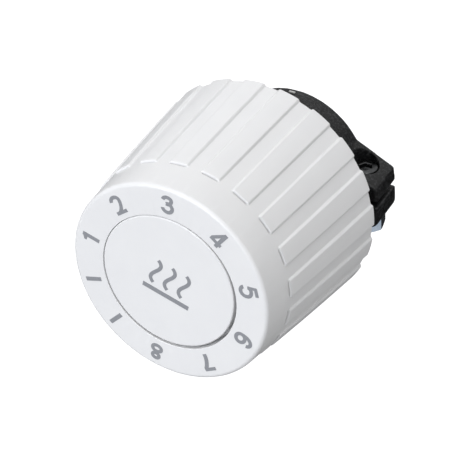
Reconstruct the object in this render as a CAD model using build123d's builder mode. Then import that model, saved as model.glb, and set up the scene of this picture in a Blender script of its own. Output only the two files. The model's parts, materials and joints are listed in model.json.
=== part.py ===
from build123d import *
import os
from math import atan2, cos, degrees, radians, sin

# Thermostatic head for a radiator valve, held on the valve neck by a split clamp collar.
# Frame: +Z is the knob's axis, towards the dial. The origin is the centre of the clamp
# bore at the collar's valve-side face. The clamp ears point to -X, and the index mark,
# the clamp screw's head and the reading side face -Y. Sizes are millimetres.
os.makedirs("parts", exist_ok=True)

# ---- driving dimensions ----
FACE_Z = 51.1  # dial face above the collar's valve-side face
KNOB_REAR_Z = 14.3
KNOB_REAR_R = 24.5  # bottom of the grooves at the open end
KNOB_TAPER = 0.0785  # radius lost per millimetre towards the dial
KNOB_WALL = 1.7
FACE_FILLET = 0.85

RIB_COUNT = 20
RIB_PHASE = 2.1  # degrees from +X to the first rib's centre
RIB_FRONT_Z = 43.6
RIB_FRONT_R = 22.6
RIB_REAR_R = 25.0
RIB_FRONT_HALF = 1.8
RIB_REAR_HALF = 2.13
RIB_FLANK = 0.35  # how much wider a rib is at its foot, each side
RIB_ROOT = 1.2  # depth that a rib reaches into the wall

NECK_R = 13.0  # clamp bore, for a 26 mm valve neck
NECK_LENGTH = 12.0
COLLAR_R = 15.8
SEAT_R = 13.8  # bore above the neck, which holds the heat contact ring
FLANGE_R = 20.5
FLANGE_Z = 15.0
FLANGE_TOP = 17.0
SPLIT = 1.2  # gap between the ears
SPLIT_Y = 0.3  # its middle at the rear face
RELIEF_Z = 8.6  # slot that frees the clamp ring from the flange
RELIEF_HEIGHT = 1.2
RELIEF_ARC = 220

EAR_HEIGHT = 8.1
EAR_TIP_X = -22.35
EAR_ROOT_X = -13.4
HEAD_EAR_TIP_Y = 3.4
HEAD_EAR_ROOT_Y = 7.9
NUT_EAR_Y = 6.05  # flat seat of the nut
HEAD_EAR_ROUND = 0.8
NUT_EAR_ROUND = 2.2
NUT_EAR_LIP_ROUND = 1.2
EAR_LEAN = 8.0  # lean of the ears and their split, towards +Y as they rise

SCREW_X = -17.3
SCREW_Z = 3.4
SCREW_R = 1.95
SCREW_HOLE_R = 2.1
SCREW_LENGTH = 12.0
SCREW_HEAD_R = 2.6
SCREW_HEAD_HEIGHT = 1.7
SCREW_KEY = 2.5  # hexagon socket, across flats
COUNTERBORE_R = 2.75
COUNTERBORE_Y = 2.0  # its floor, from the split's middle
SCREW_WASHER = 0.3
NUT_ACROSS_FLATS = 7.0
NUT_HEIGHT = 3.7
NUT_TURN = 45.0

BORE_FIT = 0.08  # radial clearance of the pieces that slide or turn
SLEEVE_BORE_R = 13.0
SLEEVE_R = 15.2  # root of the thread
SLEEVE_TOP = 36.0
SLEEVE_FLANGE = 2.0
THREAD_LEAD = 4.0
THREAD_HEIGHT = 0.8
THREAD_ROOT_HALF = 1.0
THREAD_CREST_HALF = 0.6
THREAD_GAP = 0.15
THREAD_START = 21.333
THREAD_START_ANGLE = 75
THREAD_TURNS = 3.2
GROOVE_TURNS = 3.7
BASE_SCREW_PCR = 18.2
BASE_SCREW_R = 1.2
BASE_SCREW_HEAD_R = 2.0

KEY_WIDTH = 3.0  # anti-rotation keys of the thrust cup
KEY_R = 14.0
CUP_REAR_Z = 19.0
CUP_TOP = 43.0
CUP_WALL = 0.92
CUP_ROOF = 2.0
PIVOT_R = 2.1
PIVOT_HEIGHT = 2.4
THRUST_WASHER = 0.6

CAPSULE_Z = 20.7
CAPSULE_FLANGE = 1.3
CAPSULE_TOP = 34.5
CAPSULE_WALL = 0.5
NOSE_R = 6.2
NOSE_REAR_Z = 14.5
BUSH_R = 4.0
PIN_R = 2.45
PIN_TIP_Z = 12.6
PIN_TOP = 31.0
DISC_R = 9.6
DISC_HEIGHT = 1.2
BELLOWS_R = 10.8
BELLOWS_DEPTH = 2.0
BELLOWS_WAVES = 6
BELLOWS_WALL = 0.25

TUBE_R = 20.0  # the knob's inner tube, which carries the thread ring
TUBE_BORE_R = 18.7
TUBE_REAR_Z = 22.5
ROOF_Z = 46.8  # underside of the knob's front wall
RING_R = 18.6
RING_KEY_R = 19.1
RING_KEYS = 4
THREAD_RING_Z = 24.0
THREAD_RING_HEIGHT = 9.0
STOP_BORE_R = 16.9
STOP_TAB_R = 15.4
STOP_HEIGHT = 2.5
MIN_STOP_Z = 37.0
MAX_STOP_Z = 40.0
TOOTH_R = 16.7
TOOTH_TOP = 44.0
TOOTH_Z = 35.8
STOP_HALF_ANGLE = 5.2
TOOTH_HALF_ANGLE = 5.5
STOP_PLAY = 0.4  # degrees left between a tab and the tooth at the end of travel

INDEX_ANGLE = -90.0
TURN_DOWN = 104.0  # degrees from rest to the lowest setting
TURN_UP = 226.5  # degrees from rest to the highest setting

CAP_R = 14.5
CAP_POCKET_R = 14.85
CAP_SEAT_Z = 49.6
CAP_LEG_R = 12.0
CAP_LEGS = 3
CAP_LEG_WIDTH = 5.6
CAP_LEG_THICK = 1.6

DIAL_R = 18.0  # middle of the numerals
STROKE = 0.76
CURVE_STEPS = 14
PRINT = 0.06  # thickness of the printed marks
DIGIT_COUNT = 8
DIGIT_ONE_ANGLE = -17.3  # where "1" lies, from +X
DIGIT_PITCH = -38.0  # from one numeral to the next
BAR_ANGLES = (43.5, 14.0)  # end marks of the scale
BAR_LENGTH = 3.6
BAR_WIDTH = 0.88
SYMBOL_ANGLE = 163.0  # where the cap symbol's right-hand side points


def ring_sector(outer, inner, half_angle, middle):
    """Part of a ring, half_angle either side of the direction middle, in degrees."""
    a0, a1 = radians(middle - half_angle), radians(middle + half_angle)
    mid = radians(middle)
    with BuildSketch(mode=Mode.PRIVATE) as sector:
        with BuildLine():
            ThreePointArc(
                (outer * cos(a0), outer * sin(a0)),
                (outer * cos(mid), outer * sin(mid)),
                (outer * cos(a1), outer * sin(a1)),
            )
            Line((outer * cos(a1), outer * sin(a1)), (inner * cos(a1), inner * sin(a1)))
            ThreePointArc(
                (inner * cos(a1), inner * sin(a1)),
                (inner * cos(mid), inner * sin(mid)),
                (inner * cos(a0), inner * sin(a0)),
            )
            Line((inner * cos(a0), inner * sin(a0)), (outer * cos(a0), outer * sin(a0)))
        make_face()
    return sector.sketch


def knob_radius(z):
    """Radius of the groove bottoms at height z."""
    return KNOB_REAR_R - KNOB_TAPER * (z - KNOB_REAR_Z)


def helical_ridge(profile, turns):
    """Right-handed thread form swept round the sleeve; profile is (outwards, along Z)."""
    start_plane = Plane.XY.offset(THREAD_START).rotated((0, 0, THREAD_START_ANGLE))
    with BuildPart(mode=Mode.PRIVATE) as ridge:
        with BuildLine(start_plane) as path:
            Helix(THREAD_LEAD, THREAD_LEAD * turns, SLEEVE_R)
        start = path.line @ 0
        outwards = Vector(start.X, start.Y, 0)
        with BuildSketch(Plane(start, x_dir=outwards, z_dir=path.line % 0)):
            with BuildLine():
                Polyline(*profile, close=True)
            make_face()
        sweep(path=path.line, is_frenet=True)
    return ridge.part


def finish(builder, name):
    """Labels a finished piece and writes its STEP file."""
    builder.part.label = name
    export_step(builder.part, f"parts/{name}.step")


# Plane of the clamp screw: local +Z runs out of the screw's head, along -Y.
screw_plane = Plane(origin=(SCREW_X, 0, SCREW_Z), x_dir=(1, 0, 0), z_dir=(0, -1, 0))

ear_rise = Vector(0, 0, 1).rotate(Axis.X, -EAR_LEAN)

# ---- fixed pieces: collar, sleeve and their fasteners ----
with BuildPart() as clamp_collar:
    with BuildSketch(Plane.XZ):
        with BuildLine():
            Polyline(
                (NECK_R, 0),
                (COLLAR_R, 0),
                (COLLAR_R, FLANGE_Z),
                (FLANGE_R, FLANGE_Z),
                (FLANGE_R, FLANGE_TOP),
                (SEAT_R, FLANGE_TOP),
                (SEAT_R, NECK_LENGTH),
                (NECK_R, NECK_LENGTH),
                close=True,
            )
        make_face()
    revolve(axis=Axis.Z)
    with BuildSketch() as head_ear:
        with BuildLine():
            Polyline(
                (EAR_ROOT_X, SPLIT_Y - SPLIT / 2),
                (EAR_TIP_X, SPLIT_Y - SPLIT / 2),
                (EAR_TIP_X + 0.2, -HEAD_EAR_TIP_Y),
                (EAR_ROOT_X, -HEAD_EAR_ROOT_Y),
                close=True,
            )
        make_face()
        head_corner = head_ear.vertices().group_by(Axis.X)[1]
        fillet(head_corner, radius=HEAD_EAR_ROUND)
    extrude(amount=EAR_HEIGHT / ear_rise.Z, dir=ear_rise)
    with BuildSketch() as nut_ear:
        with BuildLine():
            Polyline(
                (EAR_ROOT_X, SPLIT_Y + SPLIT / 2),
                (EAR_ROOT_X, NUT_EAR_Y),
                (EAR_TIP_X, NUT_EAR_Y),
                (EAR_TIP_X, SPLIT_Y + SPLIT / 2),
                close=True,
            )
        make_face()
        tips = nut_ear.vertices().group_by(Axis.X)[0].sort_by(Axis.Y)
        fillet(tips[-1], radius=NUT_EAR_ROUND)
        fillet(tips[0], radius=NUT_EAR_LIP_ROUND)
    extrude(amount=EAR_HEIGHT / ear_rise.Z, dir=ear_rise)
    with BuildSketch(Plane.XY):
        Circle(NECK_R)
    extrude(amount=NECK_LENGTH, mode=Mode.SUBTRACT)
    with BuildSketch(Plane.XY):
        with Locations((EAR_TIP_X - 1, SPLIT_Y)):
            Rectangle(-EAR_TIP_X - NECK_R + 3, SPLIT, align=(Align.MIN, Align.CENTER))
    extrude(amount=(RELIEF_Z + RELIEF_HEIGHT) / ear_rise.Z, dir=ear_rise, mode=Mode.SUBTRACT)
    with BuildSketch(Plane.XY.offset(RELIEF_Z)):
        add(ring_sector(COLLAR_R + 1, NECK_R - 1, RELIEF_ARC / 2, 180))
    extrude(amount=RELIEF_HEIGHT, mode=Mode.SUBTRACT)
    with BuildSketch(screw_plane.offset(COUNTERBORE_Y)):
        Circle(COUNTERBORE_R)
    extrude(amount=HEAD_EAR_ROOT_Y, mode=Mode.SUBTRACT)
    with BuildSketch(screw_plane):
        Circle(SCREW_HOLE_R)
    extrude(amount=NUT_EAR_Y + 1, both=True, mode=Mode.SUBTRACT)
    with BuildSketch(screw_plane.offset(-NUT_EAR_Y)):
        RegularPolygon(NUT_ACROSS_FLATS / 2 + 0.05, 6, major_radius=False, rotation=NUT_TURN)
    extrude(amount=-NUT_HEIGHT - 3, mode=Mode.SUBTRACT)
    with BuildSketch(Plane.XY.offset(FLANGE_Z)):
        with PolarLocations(BASE_SCREW_PCR, 4, start_angle=45):
            Circle(BASE_SCREW_R + 0.15)
    extrude(amount=FLANGE_TOP - FLANGE_Z, mode=Mode.SUBTRACT)
finish(clamp_collar, "clamp_collar")

with BuildPart() as heat_contact_ring:
    with BuildSketch(Plane.XZ):
        with BuildLine():
            Polyline(
                (NOSE_R + BORE_FIT, NECK_LENGTH),
                (SEAT_R - 0.02, NECK_LENGTH),
                (SEAT_R - 0.02, FLANGE_TOP),
                (SEAT_R - 0.8, FLANGE_TOP),
                (SEAT_R - 0.8, NECK_LENGTH + 1.5),
                (NOSE_R + 1.8, NECK_LENGTH + 1.5),
                (NOSE_R + 1.8, FLANGE_TOP),
                (NOSE_R + BORE_FIT, FLANGE_TOP),
                close=True,
            )
        make_face()
    revolve(axis=Axis.Z)
finish(heat_contact_ring, "heat_contact_ring")

with BuildPart() as index_mark:
    with BuildSketch(Plane.XZ.offset(COLLAR_R)):
        with Locations((0, 1.6)):
            Rectangle(1.3, 0.45)
    extrude(amount=0.25)
    add(Plane.XY * Cylinder(COLLAR_R, FLANGE_Z), mode=Mode.SUBTRACT)
finish(index_mark, "index_mark")

male_profile = (
    (-0.3, -THREAD_ROOT_HALF),
    (0, -THREAD_ROOT_HALF),
    (THREAD_HEIGHT, -THREAD_CREST_HALF),
    (THREAD_HEIGHT, THREAD_CREST_HALF),
    (0, THREAD_ROOT_HALF),
    (-0.3, THREAD_ROOT_HALF),
)
male_thread = helical_ridge(male_profile, THREAD_TURNS)
with BuildPart() as base_sleeve:
    with BuildSketch(Plane.XZ):
        with BuildLine():
            Polyline(
                (SLEEVE_BORE_R, FLANGE_TOP),
                (FLANGE_R, FLANGE_TOP),
                (FLANGE_R, FLANGE_TOP + SLEEVE_FLANGE),
                (SLEEVE_R, FLANGE_TOP + SLEEVE_FLANGE),
                (SLEEVE_R, SLEEVE_TOP),
                (SLEEVE_BORE_R, SLEEVE_TOP),
                close=True,
            )
        make_face()
    revolve(axis=Axis.Z)
    add(male_thread)
    with BuildSketch(Plane.XY.offset(TOOTH_Z - 1)):
        add(ring_sector(SLEEVE_R, SLEEVE_BORE_R + 0.1, TOOTH_HALF_ANGLE, INDEX_ANGLE))
    extrude(amount=TOOTH_TOP - TOOTH_Z + 1)
    with BuildSketch(Plane.XY.offset(TOOTH_Z)):
        add(ring_sector(TOOTH_R, SLEEVE_R - 0.5, TOOTH_HALF_ANGLE, INDEX_ANGLE))
    extrude(amount=TOOTH_TOP - TOOTH_Z)
    with BuildSketch(Plane.XY.offset(CUP_REAR_Z)):
        Rectangle(2 * KEY_R, KEY_WIDTH)
        Circle(SLEEVE_BORE_R - 1, mode=Mode.SUBTRACT)
    extrude(amount=SLEEVE_TOP - CUP_REAR_Z, mode=Mode.SUBTRACT)
    with BuildSketch(Plane.XY.offset(FLANGE_TOP)):
        with PolarLocations(BASE_SCREW_PCR, 4, start_angle=45):
            Circle(BASE_SCREW_R + BORE_FIT)
    extrude(amount=SLEEVE_FLANGE, mode=Mode.SUBTRACT)
finish(base_sleeve, "base_sleeve")

with BuildPart() as base_screws:
    with PolarLocations(BASE_SCREW_PCR, 4, start_angle=45):
        with Locations((0, 0, FLANGE_Z)):
            Cylinder(BASE_SCREW_R, 3.8, align=(Align.CENTER, Align.CENTER, Align.MIN))
            Cylinder(BASE_SCREW_HEAD_R, 1.4, align=(Align.CENTER, Align.CENTER, Align.MAX))
    heads = base_screws.edges().filter_by(GeomType.CIRCLE).group_by(Axis.Z)[0]
    fillet(heads, radius=0.4)
    with PolarLocations(BASE_SCREW_PCR, 4, start_angle=45):
        with Locations((0, 0, FLANGE_Z - 1.4)):
            Box(2.2, 0.5, 1.2, mode=Mode.SUBTRACT)
            Box(0.5, 2.2, 1.2, mode=Mode.SUBTRACT)
finish(base_screws, "base_screws")

with BuildPart() as clamp_nut:
    with BuildSketch(screw_plane.offset(-NUT_EAR_Y)):
        RegularPolygon(NUT_ACROSS_FLATS / 2, 6, major_radius=False, rotation=NUT_TURN)
    extrude(amount=-NUT_HEIGHT)
    with BuildSketch(screw_plane.offset(-NUT_EAR_Y)):
        Circle(SCREW_R + BORE_FIT)
    extrude(amount=-NUT_HEIGHT, mode=Mode.SUBTRACT)
finish(clamp_nut, "clamp_nut")

# ---- clamp screw and its washer ----
HEAD_SEAT_Y = COUNTERBORE_Y + SCREW_WASHER
with BuildPart() as clamp_washer:
    with BuildSketch(screw_plane.offset(COUNTERBORE_Y)):
        Circle(SCREW_HEAD_R)
        Circle(SCREW_R + BORE_FIT, mode=Mode.SUBTRACT)
    extrude(amount=SCREW_WASHER)
finish(clamp_washer, "clamp_washer")

with BuildPart() as clamp_screw:
    with BuildSketch(screw_plane.offset(HEAD_SEAT_Y)):
        Circle(SCREW_R)
    extrude(amount=-SCREW_LENGTH)
    shank_end = clamp_screw.edges().filter_by(GeomType.CIRCLE).group_by(Axis.Y)[-1]
    chamfer(shank_end, length=0.4)
    with BuildSketch(screw_plane.offset(HEAD_SEAT_Y)):
        Circle(SCREW_HEAD_R)
    extrude(amount=SCREW_HEAD_HEIGHT)
    head_rim = clamp_screw.edges().filter_by(GeomType.CIRCLE).group_by(Axis.Y)[0]
    fillet(head_rim, radius=0.25)
    with BuildSketch(screw_plane.offset(HEAD_SEAT_Y + SCREW_HEAD_HEIGHT)):
        RegularPolygon(SCREW_KEY / 2, 6, major_radius=False)
    extrude(amount=-1.1, mode=Mode.SUBTRACT)
finish(clamp_screw, "clamp_screw")

# ---- thrust cup: follows the knob along Z without turning ----
CUP_R = SLEEVE_BORE_R - BORE_FIT
CUP_BORE_R = CUP_R - CUP_WALL
CLIP_GROOVE_Z = CAPSULE_Z - 0.9
with BuildPart() as thrust_cup:
    with BuildSketch(Plane.XZ):
        with BuildLine():
            Polyline(
                (CUP_BORE_R, CUP_REAR_Z),
                (CUP_R, CUP_REAR_Z),
                (CUP_R, CUP_TOP),
                (PIVOT_R, CUP_TOP),
                (PIVOT_R, CUP_TOP + PIVOT_HEIGHT),
                (0, CUP_TOP + PIVOT_HEIGHT),
                (0, CUP_TOP - CUP_ROOF),
                (CUP_BORE_R, CUP_TOP - CUP_ROOF),
                (CUP_BORE_R, CLIP_GROOVE_Z + 0.8),
                (CUP_BORE_R + 0.45, CLIP_GROOVE_Z + 0.8),
                (CUP_BORE_R + 0.45, CLIP_GROOVE_Z),
                (CUP_BORE_R, CLIP_GROOVE_Z),
                close=True,
            )
        make_face()
    revolve(axis=Axis.Z)
    with BuildSketch(Plane.XY.offset(CUP_REAR_Z + 4)):
        Rectangle(2 * (KEY_R - BORE_FIT), KEY_WIDTH - 0.2)
        Circle(CUP_R - 0.3, mode=Mode.SUBTRACT)
    extrude(amount=10)
finish(thrust_cup, "thrust_cup")

with BuildPart() as cup_clip:
    with BuildSketch(Plane.XY.offset(CLIP_GROOVE_Z + 0.05)):
        add(ring_sector(CUP_BORE_R + 0.4, CUP_BORE_R - 1.2, 162, 0))
    extrude(amount=0.7)
finish(cup_clip, "cup_clip")

with BuildPart() as thrust_washer:
    with BuildSketch(Plane.XY.offset(CUP_TOP)):
        Circle(5.5)
        Circle(PIVOT_R + BORE_FIT, mode=Mode.SUBTRACT)
    extrude(amount=THRUST_WASHER)
finish(thrust_washer, "thrust_washer")


def coil_spring(wire_r, mean_r, pitch, low, high):
    """Round-wire compression spring that fills the height from low to high."""
    with BuildPart(mode=Mode.PRIVATE) as spring:
        with BuildLine(Plane.XY.offset(low + wire_r)) as wire:
            Helix(pitch, high - low - 2 * wire_r, mean_r)
        with BuildSketch(Plane(wire.line @ 0, z_dir=wire.line % 0)):
            Circle(wire_r)
        sweep(path=wire.line, is_frenet=True)
    return spring.part


with BuildPart() as overload_spring:
    add(coil_spring(0.7, 8.6, 2.3, CAPSULE_TOP + 0.05, CUP_TOP - CUP_ROOF - 0.05))
finish(overload_spring, "overload_spring")

# ---- sensor capsule ----
CAPSULE_R = CUP_BORE_R - BORE_FIT
CAN_FOOT = CAPSULE_Z + CAPSULE_FLANGE
with BuildPart() as capsule_base:
    with BuildSketch(Plane.XZ):
        with BuildLine():
            Polyline(
                (BUSH_R, NOSE_REAR_Z),
                (NOSE_R, NOSE_REAR_Z),
                (NOSE_R, CAPSULE_Z),
                (CAPSULE_R, CAPSULE_Z),
                (CAPSULE_R, CAN_FOOT),
                (BUSH_R, CAN_FOOT),
                close=True,
            )
        make_face()
    revolve(axis=Axis.Z)
finish(capsule_base, "capsule_base")

with BuildPart() as capsule_can:
    with BuildSketch(Plane.XZ):
        with BuildLine():
            Polyline(
                (CAPSULE_R - CAPSULE_WALL, CAN_FOOT),
                (CAPSULE_R, CAN_FOOT),
                (CAPSULE_R, CAPSULE_TOP),
                (0, CAPSULE_TOP),
                (0, CAPSULE_TOP - 2 * CAPSULE_WALL),
                (CAPSULE_R - CAPSULE_WALL, CAPSULE_TOP - 2 * CAPSULE_WALL),
                close=True,
            )
        make_face()
    revolve(axis=Axis.Z)
    rim = capsule_can.edges().filter_by(GeomType.CIRCLE).group_by(Axis.Z)[-1]
    fillet(rim, radius=0.8)
finish(capsule_can, "capsule_can")

with BuildPart() as pin_guide_bush:
    with BuildSketch(Plane.XY.offset(NOSE_REAR_Z)):
        Circle(BUSH_R)
        Circle(PIN_R + 0.05, mode=Mode.SUBTRACT)
    extrude(amount=CAN_FOOT - NOSE_REAR_Z)
finish(pin_guide_bush, "pin_guide_bush")

# Corrugated wall: the same zigzag inside and out, one wall thickness apart.
wave_height = (PIN_TOP - CAN_FOOT) / BELLOWS_WAVES
outer_wave = []
for wave in range(BELLOWS_WAVES):
    z = CAN_FOOT + wave * wave_height
    outer_wave.append((BELLOWS_R - BELLOWS_DEPTH, z))
    outer_wave.append((BELLOWS_R, z + 0.3 * wave_height))
    outer_wave.append((BELLOWS_R, z + 0.7 * wave_height))
outer_wave.append((BELLOWS_R - BELLOWS_DEPTH, PIN_TOP))
inner_wave = [(r - 2 * BELLOWS_WALL, z) for r, z in reversed(outer_wave)]
with BuildPart() as bellows:
    with BuildSketch(Plane.XZ):
        with BuildLine():
            Polyline(*outer_wave, *inner_wave, close=True)
        make_face()
    revolve(axis=Axis.Z)
finish(bellows, "bellows")

# ---- pressure pin and its disc ----
with BuildPart() as press_pin:
    with BuildSketch(Plane.XY.offset(PIN_TIP_Z)):
        Circle(PIN_R)
    extrude(amount=PIN_TOP - PIN_TIP_Z)
    tip = press_pin.edges().filter_by(GeomType.CIRCLE).group_by(Axis.Z)[0]
    fillet(tip, radius=0.6)
finish(press_pin, "press_pin")

with BuildPart() as bellows_disc:
    with BuildSketch(Plane.XY.offset(PIN_TOP)):
        Circle(DISC_R)
    extrude(amount=DISC_HEIGHT)
finish(bellows_disc, "bellows_disc")

with BuildPart() as return_spring:
    add(coil_spring(0.45, 5.6, 1.7, CAN_FOOT + 0.05, PIN_TOP - 0.05))
finish(return_spring, "return_spring")

# ---- knob ----
with BuildPart() as rib:
    with BuildSketch(Plane.XY.offset(KNOB_REAR_Z)):
        with BuildLine():
            Polyline(
                (RIB_REAR_R - RIB_ROOT, -RIB_REAR_HALF - RIB_FLANK),
                (RIB_REAR_R - 0.5, -RIB_REAR_HALF - RIB_FLANK),
                (RIB_REAR_R, -RIB_REAR_HALF),
                (RIB_REAR_R, RIB_REAR_HALF),
                (RIB_REAR_R - 0.5, RIB_REAR_HALF + RIB_FLANK),
                (RIB_REAR_R - RIB_ROOT, RIB_REAR_HALF + RIB_FLANK),
                close=True,
            )
        make_face()
    with BuildSketch(Plane.XY.offset(RIB_FRONT_Z)):
        with BuildLine():
            Polyline(
                (RIB_FRONT_R - RIB_ROOT, -RIB_FRONT_HALF - RIB_FLANK),
                (RIB_FRONT_R - 0.5, -RIB_FRONT_HALF - RIB_FLANK),
                (RIB_FRONT_R, -RIB_FRONT_HALF),
                (RIB_FRONT_R, RIB_FRONT_HALF),
                (RIB_FRONT_R - 0.5, RIB_FRONT_HALF + RIB_FLANK),
                (RIB_FRONT_R - RIB_ROOT, RIB_FRONT_HALF + RIB_FLANK),
                close=True,
            )
        make_face()
    loft(ruled=True)

POCKET_TOP = ROOF_Z - 2.8
BOSS_Z = CUP_TOP + THRUST_WASHER + 0.05
with BuildPart() as knob_shell:
    with BuildSketch(Plane.XZ):
        with BuildLine():
            Polyline(
                (knob_radius(KNOB_REAR_Z) - KNOB_WALL, KNOB_REAR_Z),
                (knob_radius(KNOB_REAR_Z), KNOB_REAR_Z),
                (knob_radius(FACE_Z), FACE_Z),
                (CAP_POCKET_R, FACE_Z),
                (CAP_POCKET_R, CAP_SEAT_Z),
                (0, CAP_SEAT_Z),
                (0, CUP_TOP + PIVOT_HEIGHT + 0.6),
                (PIVOT_R + BORE_FIT, CUP_TOP + PIVOT_HEIGHT + 0.6),
                (PIVOT_R + BORE_FIT, BOSS_Z),
                (5.0, BOSS_Z),
                (5.0, ROOF_Z),
                (TUBE_BORE_R, ROOF_Z),
                (TUBE_BORE_R, TUBE_REAR_Z),
                (TUBE_R, TUBE_REAR_Z),
                (TUBE_R, POCKET_TOP),
                (knob_radius(POCKET_TOP) - KNOB_WALL, POCKET_TOP),
                close=True,
            )
        make_face()
    revolve(axis=Axis.Z)
    face_rim = knob_shell.edges().filter_by(GeomType.CIRCLE).group_by(Axis.Z)[-1]
    fillet(face_rim.sort_by(SortBy.RADIUS)[-1], radius=FACE_FILLET)
    with PolarLocations(0, RIB_COUNT, start_angle=RIB_PHASE):
        add(rib.part)
    with BuildSketch(Plane.XY.offset(TUBE_REAR_Z)):
        with PolarLocations((TUBE_BORE_R + RING_KEY_R) / 2, RING_KEYS):
            Rectangle(2 * (RING_KEY_R + 0.05 - TUBE_BORE_R), KEY_WIDTH)
        Circle(TUBE_BORE_R - 0.3, mode=Mode.SUBTRACT)
        Circle(RING_KEY_R + 0.05, mode=Mode.INTERSECT)
    extrude(amount=MAX_STOP_Z + STOP_HEIGHT - TUBE_REAR_Z, mode=Mode.SUBTRACT)
    with BuildSketch(Plane.XY.offset(TUBE_REAR_Z + 0.6)):
        Circle(RING_KEY_R)
        Circle(TUBE_BORE_R - 0.5, mode=Mode.SUBTRACT)
    extrude(amount=0.8, mode=Mode.SUBTRACT)
    with BuildSketch(Plane.XY.offset(ROOF_Z)):
        with PolarLocations(CAP_LEG_R, CAP_LEGS):
            Rectangle(CAP_LEG_THICK + 0.1, CAP_LEG_WIDTH + 0.1)
    extrude(amount=CAP_SEAT_Z - ROOF_Z, mode=Mode.SUBTRACT)
finish(knob_shell, "knob_shell")


def keyed_ring(bore_r):
    """Ring that fits the knob's inner tube, with a key in each of its grooves."""
    with BuildSketch(mode=Mode.PRIVATE) as outline:
        with PolarLocations((RING_R + RING_KEY_R) / 2 - 0.3, RING_KEYS):
            Rectangle(RING_KEY_R - RING_R + 0.6, KEY_WIDTH - 0.2)
        Circle(RING_R)
        Circle(bore_r, mode=Mode.SUBTRACT)
    return outline.sketch


groove_profile = (
    (-0.3, -THREAD_ROOT_HALF - THREAD_GAP),
    (THREAD_GAP, -THREAD_ROOT_HALF - THREAD_GAP),
    (THREAD_HEIGHT + THREAD_GAP, -THREAD_CREST_HALF - THREAD_GAP),
    (THREAD_HEIGHT + THREAD_GAP, THREAD_CREST_HALF + THREAD_GAP),
    (THREAD_GAP, THREAD_ROOT_HALF + THREAD_GAP),
    (-0.3, THREAD_ROOT_HALF + THREAD_GAP),
)
thread_groove = helical_ridge(groove_profile, GROOVE_TURNS)
with BuildPart() as thread_ring:
    with BuildSketch(Plane.XY.offset(THREAD_RING_Z)):
        add(keyed_ring(SLEEVE_R + THREAD_GAP))
    extrude(amount=THREAD_RING_HEIGHT)
    add(thread_groove, mode=Mode.SUBTRACT)
finish(thread_ring, "thread_ring")

with BuildPart() as thread_ring_clip:
    with BuildSketch(Plane.XY.offset(TUBE_REAR_Z + 0.65)):
        add(ring_sector(RING_KEY_R - 0.05, RING_R - 1.4, 165, 0))
    extrude(amount=0.7)
finish(thread_ring_clip, "thread_ring_clip")

# At each end of travel a stop tab meets the sleeve's tooth from its own side.
stop_lead = TOOTH_HALF_ANGLE + STOP_HALF_ANGLE + STOP_PLAY
for name, low, tab_angle in (
    ("min_stop_ring", MIN_STOP_Z, INDEX_ANGLE + TURN_DOWN + stop_lead),
    ("max_stop_ring", MAX_STOP_Z, INDEX_ANGLE - TURN_UP - stop_lead),
):
    with BuildPart() as stop_ring:
        with BuildSketch(Plane.XY.offset(low)):
            add(keyed_ring(STOP_BORE_R))
            add(ring_sector(STOP_BORE_R + 0.4, STOP_TAB_R, STOP_HALF_ANGLE, tab_angle))
        extrude(amount=STOP_HEIGHT)
    finish(stop_ring, name)


def bar(start, end, width=STROKE):
    """Straight stroke with square ends."""
    along = Vector(end) - Vector(start)
    middle = (Vector(start) + Vector(end)) / 2
    with Locations(Location(middle, degrees(atan2(along.Y, along.X)))):
        Rectangle(along.length, width)


def curve(*points, width=STROKE):
    """Curved stroke through the points, with square ends."""
    spine = Edge.make_spline([Vector(point) for point in points])
    left, right = [], []
    for step in range(CURVE_STEPS + 1):
        share = step / CURVE_STEPS
        side = (spine % share).rotate(Axis.Z, 90) * (width / 2)
        left.append(spine @ share + side)
        right.append(spine @ share - side)
    with BuildLine() as outline:
        Spline(*left)
        Line(left[-1], right[-1])
        Spline(*reversed(right))
        Line(right[0], left[0])
    make_face(outline.edges())


def loop(centre, half_width, half_height):
    """Oval stroke that closes on itself."""
    with BuildSketch(mode=Mode.PRIVATE) as oval:
        Ellipse(half_width + STROKE / 2, half_height + STROKE / 2)
        Ellipse(half_width - STROKE / 2, half_height - STROKE / 2, mode=Mode.SUBTRACT)
    add(Location(centre) * oval.sketch)


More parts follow.
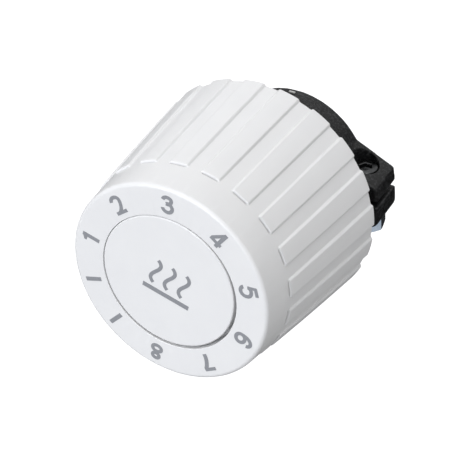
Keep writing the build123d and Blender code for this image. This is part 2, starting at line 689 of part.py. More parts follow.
def numeral(digit):
    """A numeral about 4 mm high, drawn about its own middle."""
    with BuildSketch(mode=Mode.PRIVATE) as strokes:
        if digit == 1:
            bar((0.15, -1.9), (0.15, 1.9), 0.84)
            bar((-1.05, 1.1), (0.15, 1.1), 0.6)
            bar((-0.7, 1.2), (0.1, 1.65), 0.5)
        if digit == 2:
            curve((-1.05, 0.85), (-0.7, 1.45), (0.05, 1.66), (0.85, 1.3), (0.95, 0.6), (-0.85, -1.5))
            bar((-1.4, -1.65), (1.35, -1.65), 0.72)
        if digit == 3:
            curve((-1.0, 1.0), (-0.55, 1.55), (0.1, 1.66), (0.8, 1.25), (0.65, 0.5), (-0.3, 0.2))
            curve((-0.3, 0.2), (0.75, -0.05), (1.02, -0.8), (0.3, -1.64), (-0.7, -1.45), (-1.07, -0.85))
        if digit == 4:
            bar((0.58, -2.05), (0.58, 2.05), 0.82)
            bar((-1.4, -1.1), (1.35, -1.1), 0.7)
            bar((0.48, 1.75), (-1.12, -0.9), 0.7)
        if digit == 5:
            bar((-0.92, 1.72), (1.05, 1.72), 0.7)
            bar((-0.66, 1.9), (-0.95, 0.0), 0.62)
            bowl = ((-0.95, 0.1), (0.05, 0.62), (0.95, 0.05), (0.9, -1.1), (0.05, -1.7))
            curve(*bowl, (-0.8, -1.45), (-1.1, -0.9))
        if digit == 6:
            loop((0.05, -0.72), 1.02, 0.96)
            curve((-0.97, -0.7), (-0.98, 0.3), (-0.55, 1.3), (0.15, 1.66), (0.72, 1.45), (0.98, 1.0))
        if digit == 7:
            bar((-1.3, 1.52), (1.3, 1.52), 0.72)
            curve((1.0, 1.4), (0.35, 0.4), (-0.05, -0.6), (-0.2, -1.88), width=0.86)
        if digit == 8:
            loop((0, 1.0), 0.72, 0.6)
            loop((0, -0.85), 0.98, 0.74)
    return strokes.sketch


def dial_spot(angle):
    """Middle of a dial mark whose top points away from the axis."""
    middle = (DIAL_R * cos(radians(angle)), DIAL_R * sin(radians(angle)))
    return Location(middle, angle - 90)


with BuildPart() as dial_numbers:
    with BuildSketch(Plane.XY.offset(FACE_Z)):
        for digit in range(1, DIGIT_COUNT + 1):
            add(dial_spot(DIGIT_ONE_ANGLE + DIGIT_PITCH * (digit - 1)) * numeral(digit))
        for angle in BAR_ANGLES:
            with Locations(dial_spot(angle)):
                Rectangle(BAR_WIDTH, BAR_LENGTH)
    extrude(amount=PRINT)
finish(dial_numbers, "dial_numbers")

# ---- front cap ----
with BuildPart() as front_cap:
    with BuildSketch(Plane.XY.offset(CAP_SEAT_Z)):
        Circle(CAP_R)
    extrude(amount=FACE_Z - CAP_SEAT_Z)
    cap_rim = front_cap.edges().filter_by(GeomType.CIRCLE).group_by(Axis.Z)[-1]
    fillet(cap_rim, radius=0.3)
    with BuildSketch(Plane.XY.offset(CAP_SEAT_Z)):
        with PolarLocations(CAP_LEG_R, CAP_LEGS):
            Rectangle(CAP_LEG_THICK, CAP_LEG_WIDTH)
    extrude(amount=ROOF_Z - CAP_SEAT_Z - 0.9)
finish(front_cap, "front_cap")

# Heating symbol: three rising waves over a bar.
with BuildPart() as cap_symbol:
    with BuildSketch(Plane.XY.offset(FACE_Z).rotated((0, 0, SYMBOL_ANGLE))):
        for x in (-3.2, 0, 3.2):
            curve((x, -1.9), (x - 0.8, -0.5), (x, 0.95), (x + 0.8, 2.4), (x, 3.8))
        bar((-5.2, -3.4), (5.2, -3.4), 1.0)
    extrude(amount=PRINT)
finish(cap_symbol, "cap_symbol")
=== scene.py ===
import json
import math

import bmesh
import bpy
from mathutils import Matrix, Vector


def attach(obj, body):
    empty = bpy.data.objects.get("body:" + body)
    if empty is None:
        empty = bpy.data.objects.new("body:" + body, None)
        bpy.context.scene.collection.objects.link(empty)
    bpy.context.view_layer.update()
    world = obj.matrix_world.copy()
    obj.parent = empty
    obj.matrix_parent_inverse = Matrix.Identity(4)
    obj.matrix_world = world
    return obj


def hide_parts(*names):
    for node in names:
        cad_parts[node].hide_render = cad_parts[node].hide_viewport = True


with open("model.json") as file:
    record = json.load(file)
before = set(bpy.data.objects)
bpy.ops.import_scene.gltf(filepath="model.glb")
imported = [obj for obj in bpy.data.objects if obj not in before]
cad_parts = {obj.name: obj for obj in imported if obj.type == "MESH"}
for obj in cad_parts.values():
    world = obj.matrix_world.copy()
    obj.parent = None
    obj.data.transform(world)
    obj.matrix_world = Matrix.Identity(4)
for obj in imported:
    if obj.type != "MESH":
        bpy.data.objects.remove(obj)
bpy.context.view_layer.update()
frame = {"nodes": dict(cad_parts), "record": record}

# Lengths in this script are millimetres, in the CAD model's frame, and become metres when
# a mesh is written. +Z is the knob's axis, towards the dial.
MM = 0.001
FACE_Z = 51.1


# ---- camera ----
def look(direction, up):
    """Rotation of a camera or lamp that looks along direction, with up at the picture's top."""
    forward = Vector(direction).normalized()
    right = forward.cross(Vector(up)).normalized()
    top = right.cross(forward)
    return Matrix((right, top, -forward)).transposed()


CAMERA_PLACE = (-213.1, -262.0, 367.1)
CAMERA_FORWARD = (0.4450, 0.5495, -0.7071)
CAMERA_UP = (0.2420, -0.8342, -0.4960)
LENS = 190.8

camera_data = bpy.data.cameras.new("camera")
camera_data.lens = LENS
camera_data.sensor_width = 36.0
camera_data.clip_end = 20.0
camera = bpy.data.objects.new("camera", camera_data)
camera.matrix_world = Matrix.Translation(Vector(CAMERA_PLACE) * MM) @ look(
    CAMERA_FORWARD, CAMERA_UP
).to_4x4()
bpy.context.scene.collection.objects.link(camera)
bpy.context.scene.camera = camera
bpy.context.scene.view_settings.view_transform = "Standard"


# ---- materials ----
class Nodes:
    """Short forms for building a node material."""

    def __init__(self, name):
        self.material = bpy.data.materials.new(name)
        self.material.use_nodes = True
        self.tree = self.material.node_tree
        self.shader = self.tree.nodes["Principled BSDF"]
        self.place = self.tree.nodes.new("ShaderNodeTexCoord").outputs["Object"]

    def node(self, kind, inputs=(), **settings):
        made = self.tree.nodes.new("ShaderNode" + kind)
        for key, value in settings.items():
            setattr(made, key, value)
        for key, value in dict(inputs).items():
            if isinstance(value, bpy.types.NodeSocket):
                self.tree.links.new(value, made.inputs[key])
            else:
                made.inputs[key].default_value = value
        return made

    def stretched(self, scale):
        """Object coordinates in millimetres, scaled along each axis."""
        factor = [s / MM for s in scale]
        return self.node("Mapping", {"Vector": self.place, "Scale": factor}).outputs[0]

    def noise(self, size, detail=3.0, scale=(1, 1, 1), roughness=0.55):
        """Noise with lumps of about size millimetres."""
        inputs = {
            "Vector": self.stretched(scale),
            "Scale": 1 / size,
            "Detail": detail,
            "Roughness": roughness,
        }
        return self.node("TexNoise", inputs).outputs["Fac"]

    def cells(self, size):
        """Distance to the nearest of scattered points about size millimetres apart."""
        inputs = {"Vector": self.stretched((1, 1, 1)), "Scale": 1 / size}
        return self.node("TexVoronoi", inputs).outputs["Distance"]

    def ranged(self, value, low, high, out_low=0.0, out_high=1.0):
        inputs = {
            "Value": value,
            "From Min": low,
            "From Max": high,
            "To Min": out_low,
            "To Max": out_high,
        }
        return self.node("MapRange", inputs).outputs["Result"]

    def mix(self, factor, first, second):
        made = self.node("Mix", data_type="RGBA")
        self.tree.links.new(factor, made.inputs["Factor"])
        for socket, value in ((made.inputs[6], first), (made.inputs[7], second)):
            if isinstance(value, bpy.types.NodeSocket):
                self.tree.links.new(value, socket)
            else:
                socket.default_value = (*value, 1.0)
        return made.outputs[2]

    def bump(self, height, depth, after=None):
        """Surface relief of about depth millimetres."""
        inputs = {"Height": height, "Strength": 1.0, "Distance": depth * MM}
        made = self.node("Bump", inputs)
        if after is not None:
            self.tree.links.new(after, made.inputs["Normal"])
        return made.outputs["Normal"]

    def connect(self, **sockets):
        for key, value in sockets.items():
            socket = self.shader.inputs[key.replace("_", " ").title().replace("Ior", "IOR")]
            if isinstance(value, bpy.types.NodeSocket):
                self.tree.links.new(value, socket)
            else:
                socket.default_value = value
        return self.material


def moulded(name, colour, darker, roughness, grain=0.25, depth=0.004, sheen_spread=0.06):
    """Moulded plastic: faint flow mottling and a fine spark-eroded grain."""
    n = Nodes(name)
    mottle = n.ranged(n.noise(6.0, 2.0), 0.35, 0.65)
    fine = n.noise(grain, 4.0)
    colour_out = n.mix(mottle, colour, darker)
    rough = n.ranged(n.noise(1.4, 3.0), 0.3, 0.7, roughness - sheen_spread, roughness + sheen_spread)
    relief = n.bump(n.noise(3.0, 2.0), depth * 1.5, n.bump(fine, depth))
    return n.connect(base_color=colour_out, roughness=rough, normal=relief)


def glass_filled(name):
    """Black nylon with glass fibre: cloudy grey bloom, pits and short pale fibres."""
    n = Nodes(name)
    cloud = n.ranged(n.noise(1.6, 5.0, roughness=0.65), 0.38, 0.66)
    speck = n.ranged(n.noise(0.5, 3.0), 0.52, 0.72)
    fibre = n.ranged(n.noise(0.18, 2.0, scale=(1, 1, 0.25)), 0.62, 0.78)
    colour = n.mix(cloud, (0.002, 0.002, 0.0023), (0.008, 0.0083, 0.009))
    colour = n.mix(speck, colour, (0.04, 0.041, 0.043))
    colour = n.mix(fibre, colour, (0.085, 0.085, 0.088))
    rough = n.ranged(n.noise(0.9, 4.0), 0.3, 0.7, 0.26, 0.50)
    relief = n.bump(n.noise(0.55, 4.0), 0.13, n.bump(n.noise(0.2, 2.0), 0.03))
    return n.connect(base_color=colour, roughness=rough, normal=relief, ior=1.42)


def metal(name, colour, darker, roughness, scale=(1, 1, 1), grain=0.5, depth=0.006):
    """Worked metal: tone changes, tool marks along one axis and small pits."""
    n = Nodes(name)
    tone = n.ranged(n.noise(2.2, 4.0), 0.35, 0.68)
    marks = n.noise(grain, 5.0, scale=scale)
    pits = n.ranged(n.cells(0.45), 0.0, 0.12)
    rough = n.ranged(marks, 0.25, 0.75, roughness * 0.65, roughness * 1.5)
    relief = n.bump(marks, depth, n.bump(pits, 0.004))
    return n.connect(
        base_color=n.mix(tone, colour, darker), metallic=1.0, roughness=rough, normal=relief
    )


def printed(name, colour, darker):
    """Pad-printed ink: slightly uneven cover and a soft dull gloss."""
    n = Nodes(name)
    cover = n.ranged(n.noise(0.35, 4.0), 0.35, 0.75)
    rough = n.ranged(n.noise(0.5, 2.0), 0.3, 0.7, 0.38, 0.55)
    relief = n.bump(n.noise(0.12, 2.0), 0.003)
    return n.connect(base_color=n.mix(cover, colour, darker), roughness=rough, normal=relief)


# How the tool marks of metal are stretched along each axis.
ALONG_SCREW = (1.0, 0.12, 1.0)
TURNED = (1.0, 1.0, 6.0)

material = {
    "white_plastic": moulded(
        "white_plastic", (0.705, 0.705, 0.705), (0.692, 0.692, 0.694), 0.34
    ),
    "black_nylon": glass_filled("black_nylon"),
    "pom": moulded("pom", (0.80, 0.80, 0.765), (0.77, 0.77, 0.73), 0.42, 0.4, 0.006),
    "nylon_washer": moulded(
        "nylon_washer", (0.74, 0.74, 0.70), (0.68, 0.68, 0.64), 0.4, 0.2, 0.006
    ),
    "bush": moulded("bush", (0.035, 0.026, 0.018), (0.022, 0.017, 0.012), 0.45, 0.2, 0.01),
    "zinc": metal("zinc", (0.60, 0.66, 0.73), (0.44, 0.50, 0.59), 0.15, ALONG_SCREW),
    # A darker copy of the zinc, for the clamp screw: painted shade on its head, which lies deep in
    # the counterbore.
    "zinc_painted_shade": metal(
        "zinc_painted_shade", (0.10, 0.102, 0.105), (0.05, 0.051, 0.053), 0.26, ALONG_SCREW
    ),
    "spring_steel": metal("spring_steel", (0.30, 0.30, 0.31), (0.20, 0.19, 0.19), 0.34),
    "steel_pin": metal("steel_pin", (0.60, 0.60, 0.61), (0.50, 0.50, 0.51), 0.2, TURNED, 0.3),
    "brass": metal("brass", (0.66, 0.48, 0.20), (0.52, 0.36, 0.14), 0.26, TURNED),
    "bronze": metal("bronze", (0.56, 0.34, 0.17), (0.43, 0.25, 0.12), 0.28),
    "aluminium": metal("aluminium", (0.68, 0.69, 0.70), (0.55, 0.56, 0.57), 0.38, grain=0.3),
    "white_print": printed("white_print", (0.50, 0.50, 0.49), (0.42, 0.42, 0.41)),
    "grey_print": printed("grey_print", (0.225, 0.232, 0.248), (0.262, 0.268, 0.284)),
}


# ---- mesh tools ----
NEARLY_STRAIGHT = 89.5  # degrees, half the angle at a corner that needs no arc
ARC_REACH = 0.49  # the part of a side that an arc may use up
SHARP_ANGLE = 32  # degrees between two faces whose edge stays sharp
ON_AXIS = 1e-6


def rounded(corners, steps, closed=False):
    """The polyline through corners (x, y, radius), each replaced by an arc of its radius."""
    out = []
    count = len(corners)
    for i, (x, y, radius) in enumerate(corners):
        corner = Vector((x, y))
        ends = not closed and i in (0, count - 1)
        if radius <= 0 or ends:
            out.append(corner)
            continue
        back = Vector(corners[i - 1][:2]) - corner
        ahead = Vector(corners[(i + 1) % count][:2]) - corner
        half = back.angle(ahead) / 2
        if half > math.radians(NEARLY_STRAIGHT):
            out.append(corner)
            continue
        reach = min(radius / math.tan(half), ARC_REACH * back.length, ARC_REACH * ahead.length)
        radius = reach * math.tan(half)
        back.normalize()
        ahead.normalize()
        centre = corner + (back + ahead).normalized() * (radius / math.sin(half))
        start = corner + back * reach - centre
        turn = start.angle_signed(corner + ahead * reach - centre)
        for k in range(steps + 1):
            arm = start.copy()
            arm.rotate(Matrix.Rotation(-turn * k / steps, 2))
            out.append(centre + arm)
    return [tuple(p) for p in out]


def polar(rows, columns, closed=True):
    """Skin over rings round the Z axis. A row is (radius, z), and either may be a function
    of the angle. A radius of 0 is a point on the axis."""
    mesh = bmesh.new()
    angles = [2 * math.pi * k / columns for k in range(columns)]
    rings = []
    for radius, z in rows:
        if not callable(radius) and radius < ON_AXIS:
            rings.append([mesh.verts.new((0, 0, z))])
            continue
        ring = []
        for a in angles:
            r = radius(a) if callable(radius) else radius
            height = z(a) if callable(z) else z
            ring.append(mesh.verts.new((r * math.cos(a), r * math.sin(a), height)))
        rings.append(ring)
    join_rings(mesh, rings, closed)
    return mesh


def join_rings(mesh, rings, closed):
    """Faces between each ring and the next; a ring of one point makes a fan."""
    pairs = list(zip(rings, rings[1:]))
    if closed:
        pairs.append((rings[-1], rings[0]))
    for low, high in pairs:
        count = max(len(low), len(high))
        if count == 1:
            continue
        for k in range(count):
            ring = [low[k % len(low)], low[(k + 1) % len(low)]]
            ring += [high[(k + 1) % len(high)], high[k % len(high)]]
            corners = list(dict.fromkeys(ring))
            mesh.faces.new(corners)


def box(size, middle, edge=0):
    """Block, its edges rounded off by edge."""
    mesh = bmesh.new()
    bmesh.ops.create_cube(mesh, size=1.0)
    bmesh.ops.scale(mesh, vec=size, verts=mesh.verts)
    bmesh.ops.translate(mesh, vec=middle, verts=mesh.verts)
    if edge:
        bmesh.ops.bevel(
            mesh, geom=mesh.edges[:], offset=edge, segments=2, affect="EDGES", profile=0.5
        )
    return mesh


def as_object(mesh, name):
    """A bmesh in millimetres as an object, its normals outwards."""
    bmesh.ops.recalc_face_normals(mesh, faces=mesh.faces)
    bmesh.ops.scale(mesh, vec=(MM, MM, MM), verts=mesh.verts)
    data = bpy.data.meshes.new(name)
    mesh.to_mesh(data)
    mesh.free()
    made = bpy.data.objects.new(name, data)
    bpy.context.scene.collection.objects.link(made)
    return made


def together(parts):
    """Several bmeshes as one."""
    whole = bmesh.new()
    for part in parts:
        data = bpy.data.meshes.new("part")
        part.to_mesh(data)
        part.free()
        whole.from_mesh(data)
        bpy.data.meshes.remove(data)
    return whole


def moved(mesh, matrix):
    """The same bmesh, put in place."""
    bmesh.ops.transform(mesh, matrix=matrix, verts=mesh.verts)
    return mesh


def apply_modifiers(made):
    """Writes the object's modifiers into its mesh."""
    graph = bpy.context.evaluated_depsgraph_get()
    data = bpy.data.meshes.new_from_object(made.evaluated_get(graph))
    made.modifiers.clear()
    old = made.data
    made.data = data
    bpy.data.meshes.remove(old)


def cut(made, cutters):
    """Cuts the closed shapes in cutters (bmeshes) out of the object."""
    tool = as_object(together(cutters), "cutter")
    modifier = made.modifiers.new("cut", "BOOLEAN")
    modifier.operation = "DIFFERENCE"
    modifier.solver = "EXACT"
    modifier.object = tool
    apply_modifiers(made)
    bpy.data.objects.remove(tool)


def shade(made):
    """Smooth faces, sharp where two meet steeply, and flat faces kept flat."""
    mesh = bmesh.new()
    mesh.from_mesh(made.data)
    bmesh.ops.remove_doubles(mesh, verts=mesh.verts, dist=1e-7)
    for face in mesh.faces:
        face.smooth = True
    limit = math.radians(SHARP_ANGLE)
    for edge in mesh.edges:
        edge.smooth = len(edge.link_faces) == 2 and edge.calc_face_angle(0) < limit
    mesh.to_mesh(made.data)
    mesh.free()
    weighted = made.modifiers.new("flat faces", "WEIGHTED_NORMAL")
    weighted.keep_sharp = True
    apply_modifiers(made)


def piece(made, slot, body, *nodes, painted_shade_material=None):
    """Shades a piece, gives it its slot's material or else a darkened copy that paints shade, ties
    it to its body and hides the CAD nodes it stands for."""
    shade(made)
    made.data.materials.clear()
    made.data.materials.append(material[painted_shade_material or slot])
    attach(made, body)
    if nodes:
        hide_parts(*nodes)
    return made


# ---- knob ----
REAR_Z = 14.3
CONE_R = 24.5  # at the rear, between the ribs
CONE_SLOPE = 0.0785
WALL = 1.7

RIB_COUNT = 20
RIB_PHASE = 2.1
RIB_FRONT_Z = 43.6
RIB_HALF_REAR = 2.13
RIB_HALF_FRONT = 1.8
RIB_FLANK = 0.34
RIB_EDGE_ROUND = 0.42
RIB_FOOT_ROUND = 0.3
RIB_RISE = 0.4  # of the section whose corners are rounded; each ring scales it
RIB_HEIGHT = 0.5
RIB_FALL = 0.12
RIB_BELLY = 0.10
SLIT_DEPTH = 0.42

POCKET_R = 14.85
POCKET_Z = 49.6
POCKET_GROOVE = 1.6
POCKET_GROOVE_WIDTH = 0.9
SNAP_COUNT = 3
SNAP_R = 12.0

TUBE_R = 20.0
BORE_R = 18.7
TUBE_REAR_Z = 22.5
ROOF_Z = 46.8
HOLLOW_Z = 44.0
CLIP_GROOVE_Z = TUBE_REAR_Z + 0.6
CLIP_GROOVE_WIDTH = 0.8
CLIP_GROOVE_DEPTH = 0.4
BOSS_R = 5.0
BOSS_Z = 43.65
BOSS_HOLE_R = 2.18
BOSS_HOLE_TOP = 46.0
KEY_COUNT = 4
KEY_TOP_Z = 42.5


def cone_r(z):
    """Radius of the groove bottoms and of the plain band."""
    return CONE_R - CONE_SLOPE * (z - REAR_Z)


def rib_share(z):
    """0 at the rear end of the ribs, 1 at the front end."""
    return (z - REAR_Z) / (RIB_FRONT_Z - REAR_Z)


def rib_half(z):
    """Half the width of a rib's top."""
    return RIB_HALF_REAR + (RIB_HALF_FRONT - RIB_HALF_REAR) * rib_share(z)


def rib_height(z):
    t = rib_share(z)
    return RIB_HEIGHT - RIB_FALL * t + RIB_BELLY * math.sin(math.pi * t)


def rib_section(z):
    """Half-open outline of one pitch at height z: (way round in mm, rise) pairs."""
    half = rib_half(z)
    foot = half + RIB_FLANK
    pitch = 2 * math.pi * cone_r(z) / RIB_COUNT
    corners = [
        (-pitch / 2, 0, 0),
        (-foot, 0, RIB_FOOT_ROUND),
        (-half, RIB_RISE, RIB_EDGE_ROUND),
        (-half / 3, RIB_RISE, 0),
        (half / 3, RIB_RISE, 0),
        (half, RIB_RISE, RIB_EDGE_ROUND),
        (foot, 0, RIB_FOOT_ROUND),
        (pitch / 2, 0, 0),
    ]
    return rounded(corners, 3)[:-1]


def knob_ring(mesh, z, height, inset=0.0, slit=0.0):
    """One ring of the knob's outside: ribs of that height, less inset, with an end slit."""
    ring = []
    rib_z = min(z, RIB_FRONT_Z)
    section = rib_section(rib_z)
    slit_half = rib_half(rib_z) - 0.1
    base = cone_r(z) - inset
    for k in range(RIB_COUNT):
        middle = math.radians(RIB_PHASE + 360 * k / RIB_COUNT)
        for along, rise in section:
            drop = slit if abs(along) < slit_half else 0.0
            r = base + rise / RIB_RISE * height - drop
            a = middle + along / cone_r(z)
            ring.append(mesh.verts.new((r * math.cos(a), r * math.sin(a), z)))
    return ring


def plain_ring(mesh, like, r, z):
    """A round ring with as many points as the ribbed ones, at the same angles."""
    angles = [math.atan2(v.co.y, v.co.x) for v in like]
    return [mesh.verts.new((r * math.cos(a), r * math.sin(a), z)) for a in angles]


def ribbed_rings(mesh):
    """The outside from the rear edge to just past the slits at the ribs' front ends."""
    rings = []
    for step, inset in ((0, 0.22), (0.06, 0.08), (0.22, 0.0)):
        z = REAR_Z + step
        rings.append(knob_ring(mesh, z, rib_height(z), inset))
    for step in range(1, 9):
        z = REAR_Z + (RIB_FRONT_Z - 0.45 - REAR_Z) * step / 8
        rings.append(knob_ring(mesh, z, rib_height(z)))
    end = rib_height(RIB_FRONT_Z)
    for before, share in ((0.2, 0.97), (0.06, 0.80)):
        rings.append(knob_ring(mesh, RIB_FRONT_Z - before, end * share))
    slits = ((0, 0.0), (0.01, SLIT_DEPTH), (0.23, SLIT_DEPTH), (0.25, 0.03), (0.35, 0.0))
    for past, slit in slits:
        rings.append(knob_ring(mesh, RIB_FRONT_Z + past, 0.0, slit=slit))
    return rings


def knob():
    mesh = bmesh.new()
    rings = ribbed_rings(mesh)
    like = rings[-1]
    front = [
        (cone_r(46.5), 46.5, 0),
        (cone_r(FACE_Z), FACE_Z, 0.85),
        (19.0, FACE_Z, 0),
        (POCKET_R, FACE_Z, 0.12),
        (POCKET_R, POCKET_Z - POCKET_GROOVE, 0.1),
        (POCKET_R - POCKET_GROOVE_WIDTH, POCKET_Z - POCKET_GROOVE, 0.1),
        (POCKET_R - POCKET_GROOVE_WIDTH, POCKET_Z, 0.1),
        (6.0, POCKET_Z, 0),
    ]
    inside = [
        (BOSS_R, BOSS_Z, 0.15),
        (BOSS_R, ROOF_Z, 0.3),
        (BORE_R, ROOF_Z, 0.3),
        (BORE_R, CLIP_GROOVE_Z + CLIP_GROOVE_WIDTH, 0),
        (BORE_R + CLIP_GROOVE_DEPTH, CLIP_GROOVE_Z + CLIP_GROOVE_WIDTH, 0),
        (BORE_R + CLIP_GROOVE_DEPTH, CLIP_GROOVE_Z, 0),
        (BORE_R, CLIP_GROOVE_Z, 0),
        (BORE_R, TUBE_REAR_Z, 0.2),
        (TUBE_R, TUBE_REAR_Z, 0.25),
        (TUBE_R, HOLLOW_Z, 0.15),
        (cone_r(HOLLOW_Z) - WALL, HOLLOW_Z, 0.15),
        (cone_r(REAR_Z) - WALL, REAR_Z, 0.3),
        (cone_r(REAR_Z) - 0.5, REAR_Z, 0),
    ]
    rings += [plain_ring(mesh, like, r, z) for r, z in rounded(front, 5)]
    rings.append([mesh.verts.new((0, 0, POCKET_Z))])
    rings.append([mesh.verts.new((0, 0, BOSS_HOLE_TOP))])
    rings += [plain_ring(mesh, like, BOSS_HOLE_R, z) for z in (BOSS_HOLE_TOP, BOSS_Z)]
    rings += [plain_ring(mesh, like, r, z) for r, z in rounded(inside, 3)]
    join_rings(mesh, rings, True)
    made = as_object(mesh, "knob")
    cut(made, snap_slots() + key_slots())
    return made


def snap_slots():
    """Room for the cap's legs."""
    slots = []
    for k in range(SNAP_COUNT):
        slot = box((1.7, 5.7, 4.0), (SNAP_R, 0, 48.2))
        slots.append(moved(slot, Matrix.Rotation(math.radians(360 / SNAP_COUNT * k), 4, "Z")))
    return slots


def key_slots():
    """Grooves along the tube's bore, for the keys of the thread ring."""
    slots = []
    size = (1.1, 3.0, KEY_TOP_Z - TUBE_REAR_Z + 1)
    middle = (BORE_R - 0.1, 0, (KEY_TOP_Z + TUBE_REAR_Z - 1) / 2)
    for k in range(KEY_COUNT):
        key = box(size, middle)
        slots.append(moved(key, Matrix.Rotation(math.radians(360 / KEY_COUNT * k), 4, "Z")))
    return slots


piece(knob(), "white_plastic", "knob", "knob_shell")


# ---- front cap ----
CAP_R = 14.5
CAP_FOOT_R = 13.4
CAP_RECESS = 0.35
CAP_LIE = (0.21, -0.17, 0)  # its disc lies a little to one side in the pocket


def front_cap():
    corners = [
        (0, FACE_Z, 0),
        (CAP_R, FACE_Z, 0.32),
        (CAP_R, POCKET_Z, 0.1),
        (CAP_FOOT_R, POCKET_Z, 0.05),
        (CAP_FOOT_R, POCKET_Z + CAP_RECESS, 0.05),
        (0, POCKET_Z + CAP_RECESS, 0),
    ]
    disc = polar(rounded(corners, 5), 240, closed=False)
    parts = [moved(disc, Matrix.Translation(CAP_LIE))]
    for k in range(SNAP_COUNT):
        leg = box((1.6, 5.6, 4.1), (SNAP_R, 0, 47.95), 0.25)
        parts.append(moved(leg, Matrix.Rotation(math.radians(360 / SNAP_COUNT * k), 4, "Z")))
    return as_object(together(parts), "cap")


piece(front_cap(), "white_plastic", "cap", "front_cap")


# ---- clamp collar ----
def collar():
    """The CAD collar with its mould edges rounded."""
    made = bpy.data.objects.new("collar", frame["nodes"]["clamp_collar"].data.copy())
    bpy.context.scene.collection.objects.link(made)
    remesh = made.modifiers.new("even skin", "REMESH")
    remesh.mode = "VOXEL"
    remesh.voxel_size = 0.17 * MM
    remesh.adaptivity = 0.0
    smooth = made.modifiers.new("mould edges", "SMOOTH")
    smooth.factor = 0.5
    smooth.iterations = 45
    fewer = made.modifiers.new("fewer", "DECIMATE")
    fewer.ratio = 0.5
    apply_modifiers(made)
    return made


piece(collar(), "black_nylon", "collar", "clamp_collar")

# ---- clamp screw, washer and nut ----
SCREW_X, SCREW_Z = -17.3, 3.4
ACROSS_SCREW = Matrix(((1, 0, 0), (0, 0, -1), (0, 1, 0))).to_4x4()
TO_SCREW = Matrix.Translation((SCREW_X, 0, SCREW_Z)) @ ACROSS_SCREW
HEAD_SEAT = 2.3
HEAD_R = 2.6
HEAD_HEIGHT = 1.7
SCREW_LENGTH = 12.0
SOCKET_ACROSS = 2.5
THREAD_PITCH = 0.7
THREAD_R = 1.94
THREAD_DEPTH = 0.40
NUT_ACROSS = 6.98
NUT_SEAT = -6.07
NUT_OUTSIDE = -9.75
NUT_FLAT_R = 3.0
CLEARANCE_R = 2.03
WASHER_BACK = 2.0


def hexagon(across_flats, shift=0.0):
    """Radius of a hexagon's outline as a function of the angle."""

    def radius(angle):
        turn = (angle + shift) % math.radians(60) - math.radians(30)
        return across_flats / 2 / math.cos(turn)

    return radius


def clamp_screw():
    tip = HEAD_SEAT - SCREW_LENGTH
    rows = [(0, tip), (1.35, tip), (1.5, tip + 0.08)]
    steps = int((HEAD_SEAT - 0.3 - tip - 0.2) / (THREAD_PITCH / 10))

    def thread_radius(z):
        """Trapezoid thread form, faded out at the tip and under the head."""

        def radius(angle):
            phase = (z / THREAD_PITCH - angle / (2 * math.pi)) % 1.0
            depth = min(1.0, max(0.0, (abs(phase - 0.5) - 0.06) / 0.36))
            fade = min(1.0, (z - tip) / 0.6, (HEAD_SEAT - z) / 0.8)
            point = 0.4 * max(0, 1 - (z - tip) / 0.45)
            return THREAD_R - THREAD_DEPTH * depth * max(fade, 0.0) - point

        return radius

    for k in range(1, steps + 1):
        z = tip + 0.12 + k * THREAD_PITCH / 10
        rows.append((thread_radius(z), z))
    top = HEAD_SEAT + HEAD_HEIGHT
    socket = hexagon(SOCKET_ACROSS)
    wide = hexagon(SOCKET_ACROSS + 0.25)
    rows += [(THREAD_R, HEAD_SEAT - 0.15), (THREAD_R, HEAD_SEAT)]
    head = [(2.0, HEAD_SEAT, 0), (HEAD_R, HEAD_SEAT, 0.08), (HEAD_R, top, 0.28), (1.75, top, 0)]
    rows += rounded(head, 4)
    rows += [(wide, top), (socket, top - 0.12), (socket, top - 1.05)]
    rows += [(lambda a: socket(a) * 0.9, top - 1.12), (0, top - 1.3)]
    return as_object(moved(polar(rows, 72, closed=False), TO_SCREW), "screw")


def clamp_nut():
    """Hexagon nut, its outer corners well rounded off."""
    outline = hexagon(NUT_ACROSS, math.radians(-45))
    inner_drop, outer_drop = 0.4, 0.5

    def rounding(angle, drop):
        return ((outline(angle) - NUT_FLAT_R) / 1.2) ** 2 * drop

    def outer_row(shrink, share):
        """The outline, shrunk, at that share of the outer corners' rounding."""
        return (
            lambda a: outline(a) * shrink,
            lambda a: NUT_OUTSIDE + share * rounding(a, outer_drop),
        )

    rows = [(2.32, NUT_SEAT), (NUT_FLAT_R, NUT_SEAT)]
    rows.append((outline, lambda a: NUT_SEAT - rounding(a, inner_drop)))
    rows += [outer_row(1.0, 1.0), outer_row(0.97, 0.55), outer_row(0.92, 0.22)]
    rows += [(NUT_FLAT_R, NUT_OUTSIDE), (2.32, NUT_OUTSIDE)]
    rows += [(CLEARANCE_R, NUT_OUTSIDE + 0.27), (CLEARANCE_R, NUT_SEAT - 0.27)]
    return as_object(moved(polar(rows, 96), TO_SCREW), "nut")


def screw_washer():
    corners = [
        (CLEARANCE_R, WASHER_BACK, 0.05),
        (HEAD_R, WASHER_BACK, 0.08),
        (HEAD_R, HEAD_SEAT, 0.08),
        (CLEARANCE_R, HEAD_SEAT, 0.05),
    ]
    ring = polar(rounded(corners, 3, closed=True), 72)
    return as_object(moved(ring, TO_SCREW), "screw_washer")


# The clamp screw gets the darkened zinc copy: painted shade on its head, deep in the counterbore.
piece(clamp_screw(), "zinc", "screw", "clamp_screw", painted_shade_material="zinc_painted_shade")
piece(clamp_nut(), "zinc", "collar", "clamp_nut")
piece(screw_washer(), "nylon_washer", "washer", "clamp_washer")

# ---- pieces seen from behind ----
BASE_SCREWS = 4
BASE_SCREW_PLACE = 18.2
BASE_SCREW_FACE = 13.6
BASE_SCREW_TIP = 18.8


def lathe(name, corners):
    """Turned piece from corners (radius, z, edge radius), closed round its section."""
    return as_object(polar(rounded(corners, 4, closed=True), 160), name)


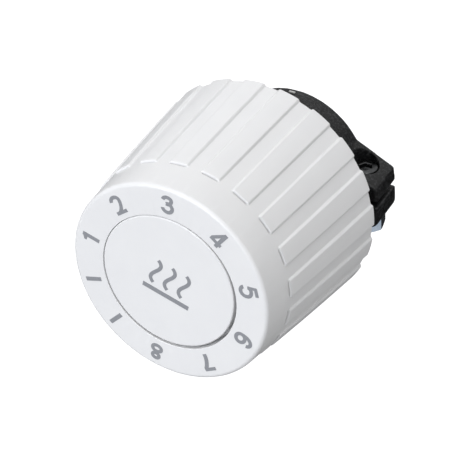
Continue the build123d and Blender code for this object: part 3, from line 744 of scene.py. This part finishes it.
def base_screw():
    """Pan-head screw with a six-lobed socket, its head towards -Z."""

    def lobes(angle):
        return 0.98 + 0.17 * math.cos(6 * angle)

    face = BASE_SCREW_FACE
    tip = BASE_SCREW_TIP
    head = [(1.2, 15.0, 0), (2.0, 15.0, 0.1), (2.0, face, 0.55), (1.3, face, 0)]
    rows = [(0, tip), (0.95, tip), (1.2, 18.5)]
    rows += rounded(head, 4)
    rows += [(lobes, face), (lobes, 14.5), (0, 14.7)]
    return polar(rows, 72, closed=False)


def base_screws():
    parts = []
    for k in range(BASE_SCREWS):
        turn = Matrix.Rotation(math.radians(45 + 360 * k / BASE_SCREWS), 4, "Z")
        parts.append(moved(base_screw(), turn @ Matrix.Translation((BASE_SCREW_PLACE, 0, 0))))
    return as_object(together(parts), "base_screw_set")


piece(base_screws(), "zinc", "collar", "base_screws")
piece(
    lathe(
        "contact_ring",
        [
            (6.28, 12.0, 0.3),
            (13.78, 12.0, 0.3),
            (13.78, 17.0, 0.1),
            (13.0, 17.0, 0.1),
            (13.0, 13.5, 0.5),
            (8.0, 13.5, 0.5),
            (8.0, 17.0, 0.2),
            (6.28, 17.0, 0.2),
        ],
    ),
    "aluminium",
    "collar",
    "heat_contact_ring",
)
piece(
    lathe(
        "capsule_nose",
        [
            (4.0, 14.5, 0.1),
            (6.2, 14.5, 0.6),
            (6.2, 20.7, 0.4),
            (11.9, 20.7, 0.1),
            (11.9, 22.0, 0.05),
            (4.0, 22.0, 0.05),
        ],
    ),
    "brass",
    "capsule",
    "capsule_base",
)
piece(
    lathe(
        "pin_bush", [(2.5, 14.5, 0.3), (4.0, 14.5, 0.15), (4.0, 22.0, 0.1), (2.5, 22.0, 0.1)]
    ),
    "bush",
    "capsule",
    "pin_guide_bush",
)


def pin():
    corners = [(0, 12.6, 0), (2.45, 12.6, 0.6), (2.45, 31.0, 0.1), (0, 31.0, 0)]
    return as_object(polar(rounded(corners, 5), 96, closed=False), "pressure_pin")


piece(pin(), "steel_pin", "pin", "press_pin")

# ---- CAD nodes that keep their own mesh ----
slot_of = {s["node"]: s["material_slot"] for s in frame["record"]["subparts"]}
for name, node in frame["nodes"].items():
    if not node.hide_render:
        node.data.materials.clear()
        node.data.materials.append(material[slot_of[name]])

# ---- floor, light and surroundings ----
FLOOR_HALF = 2500
FLOOR_Z = -0.6  # just under the clamp nut's lowest corner
FLOOR_GLOW = 0.86
SKY = 0.33
MIRRORED_BACK = 0.03
MIRRORED_FRONT = 0.8
NEARLY_UP = (0.01, 0.02, 1)


def floor():
    mesh = bmesh.new()
    bmesh.ops.create_grid(mesh, x_segments=8, y_segments=8, size=FLOOR_HALF)
    made = as_object(mesh, "floor")
    made.location.z = FLOOR_Z
    n = Nodes("floor")
    tone = n.ranged(n.noise(40.0, 3.0), 0.3, 0.7)
    colour = n.mix(tone, (0.25, 0.25, 0.25), (0.245, 0.245, 0.247))
    n.connect(base_color=colour, roughness=0.7, emission_strength=FLOOR_GLOW)
    n.shader.inputs["Emission Color"].default_value = (1, 1, 1, 1)
    made.visible_glossy = False
    made.data.materials.append(n.material)


floor()


def lamp(name, azimuth, elevation, power, colour, spread=50):
    """Far soft box in that direction from the object, in degrees."""
    a, e = math.radians(azimuth), math.radians(elevation)
    outwards = Vector((math.cos(e) * math.cos(a), math.cos(e) * math.sin(a), math.sin(e)))
    data = bpy.data.lights.new(name, "SUN")
    data.angle = math.radians(spread)
    data.energy = power
    data.color = colour
    made = bpy.data.objects.new(name, data)
    made.matrix_world = look(-outwards, NEARLY_UP).to_4x4()
    bpy.context.scene.collection.objects.link(made)


lamp("key", -95, 23, 1.12, (1.0, 0.995, 0.99))
lamp("upper", -50, 70, 2.68, (0.92, 0.945, 1.0))
lamp("edge", 142, 28, 0.10, (0.90, 0.95, 1.0), 24)

world = bpy.data.worlds.new("studio")
world.use_nodes = True
backdrop = world.node_tree.nodes["Background"]
backdrop.inputs["Color"].default_value = (1, 1, 1, 1)


def world_node(kind, **inputs):
    """A node of the world's shader, its inputs set to values or linked to sockets."""
    made = world.node_tree.nodes.new("ShaderNode" + kind)
    for key, value in inputs.items():
        socket = made.inputs[key.replace("_", " ").title()]
        if isinstance(value, bpy.types.NodeSocket):
            world.node_tree.links.new(value, socket)
        else:
            socket.default_value = value
    return made


# Gloss mirrors a bright front (-Y) and a dark back; the sky is even, and white behind it all.
path = world_node("LightPath").outputs
direction = world_node("TexCoord").outputs["Generated"]
front = world_node("SeparateXYZ", vector=direction).outputs["Y"]
mirrored = world_node(
    "MapRange",
    value=front,
    from_min=-0.05,
    from_max=-0.5,
    to_min=MIRRORED_BACK,
    to_max=MIRRORED_FRONT,
)
indoors = world_node(
    "MapRange", value=path["Is Glossy Ray"], to_min=SKY, to_max=mirrored.outputs[0]
)
strength = world_node(
    "MapRange", value=path["Is Camera Ray"], to_min=indoors.outputs[0], to_max=1.0
)
world.node_tree.links.new(strength.outputs[0], backdrop.inputs["Strength"])
bpy.context.scene.world = world
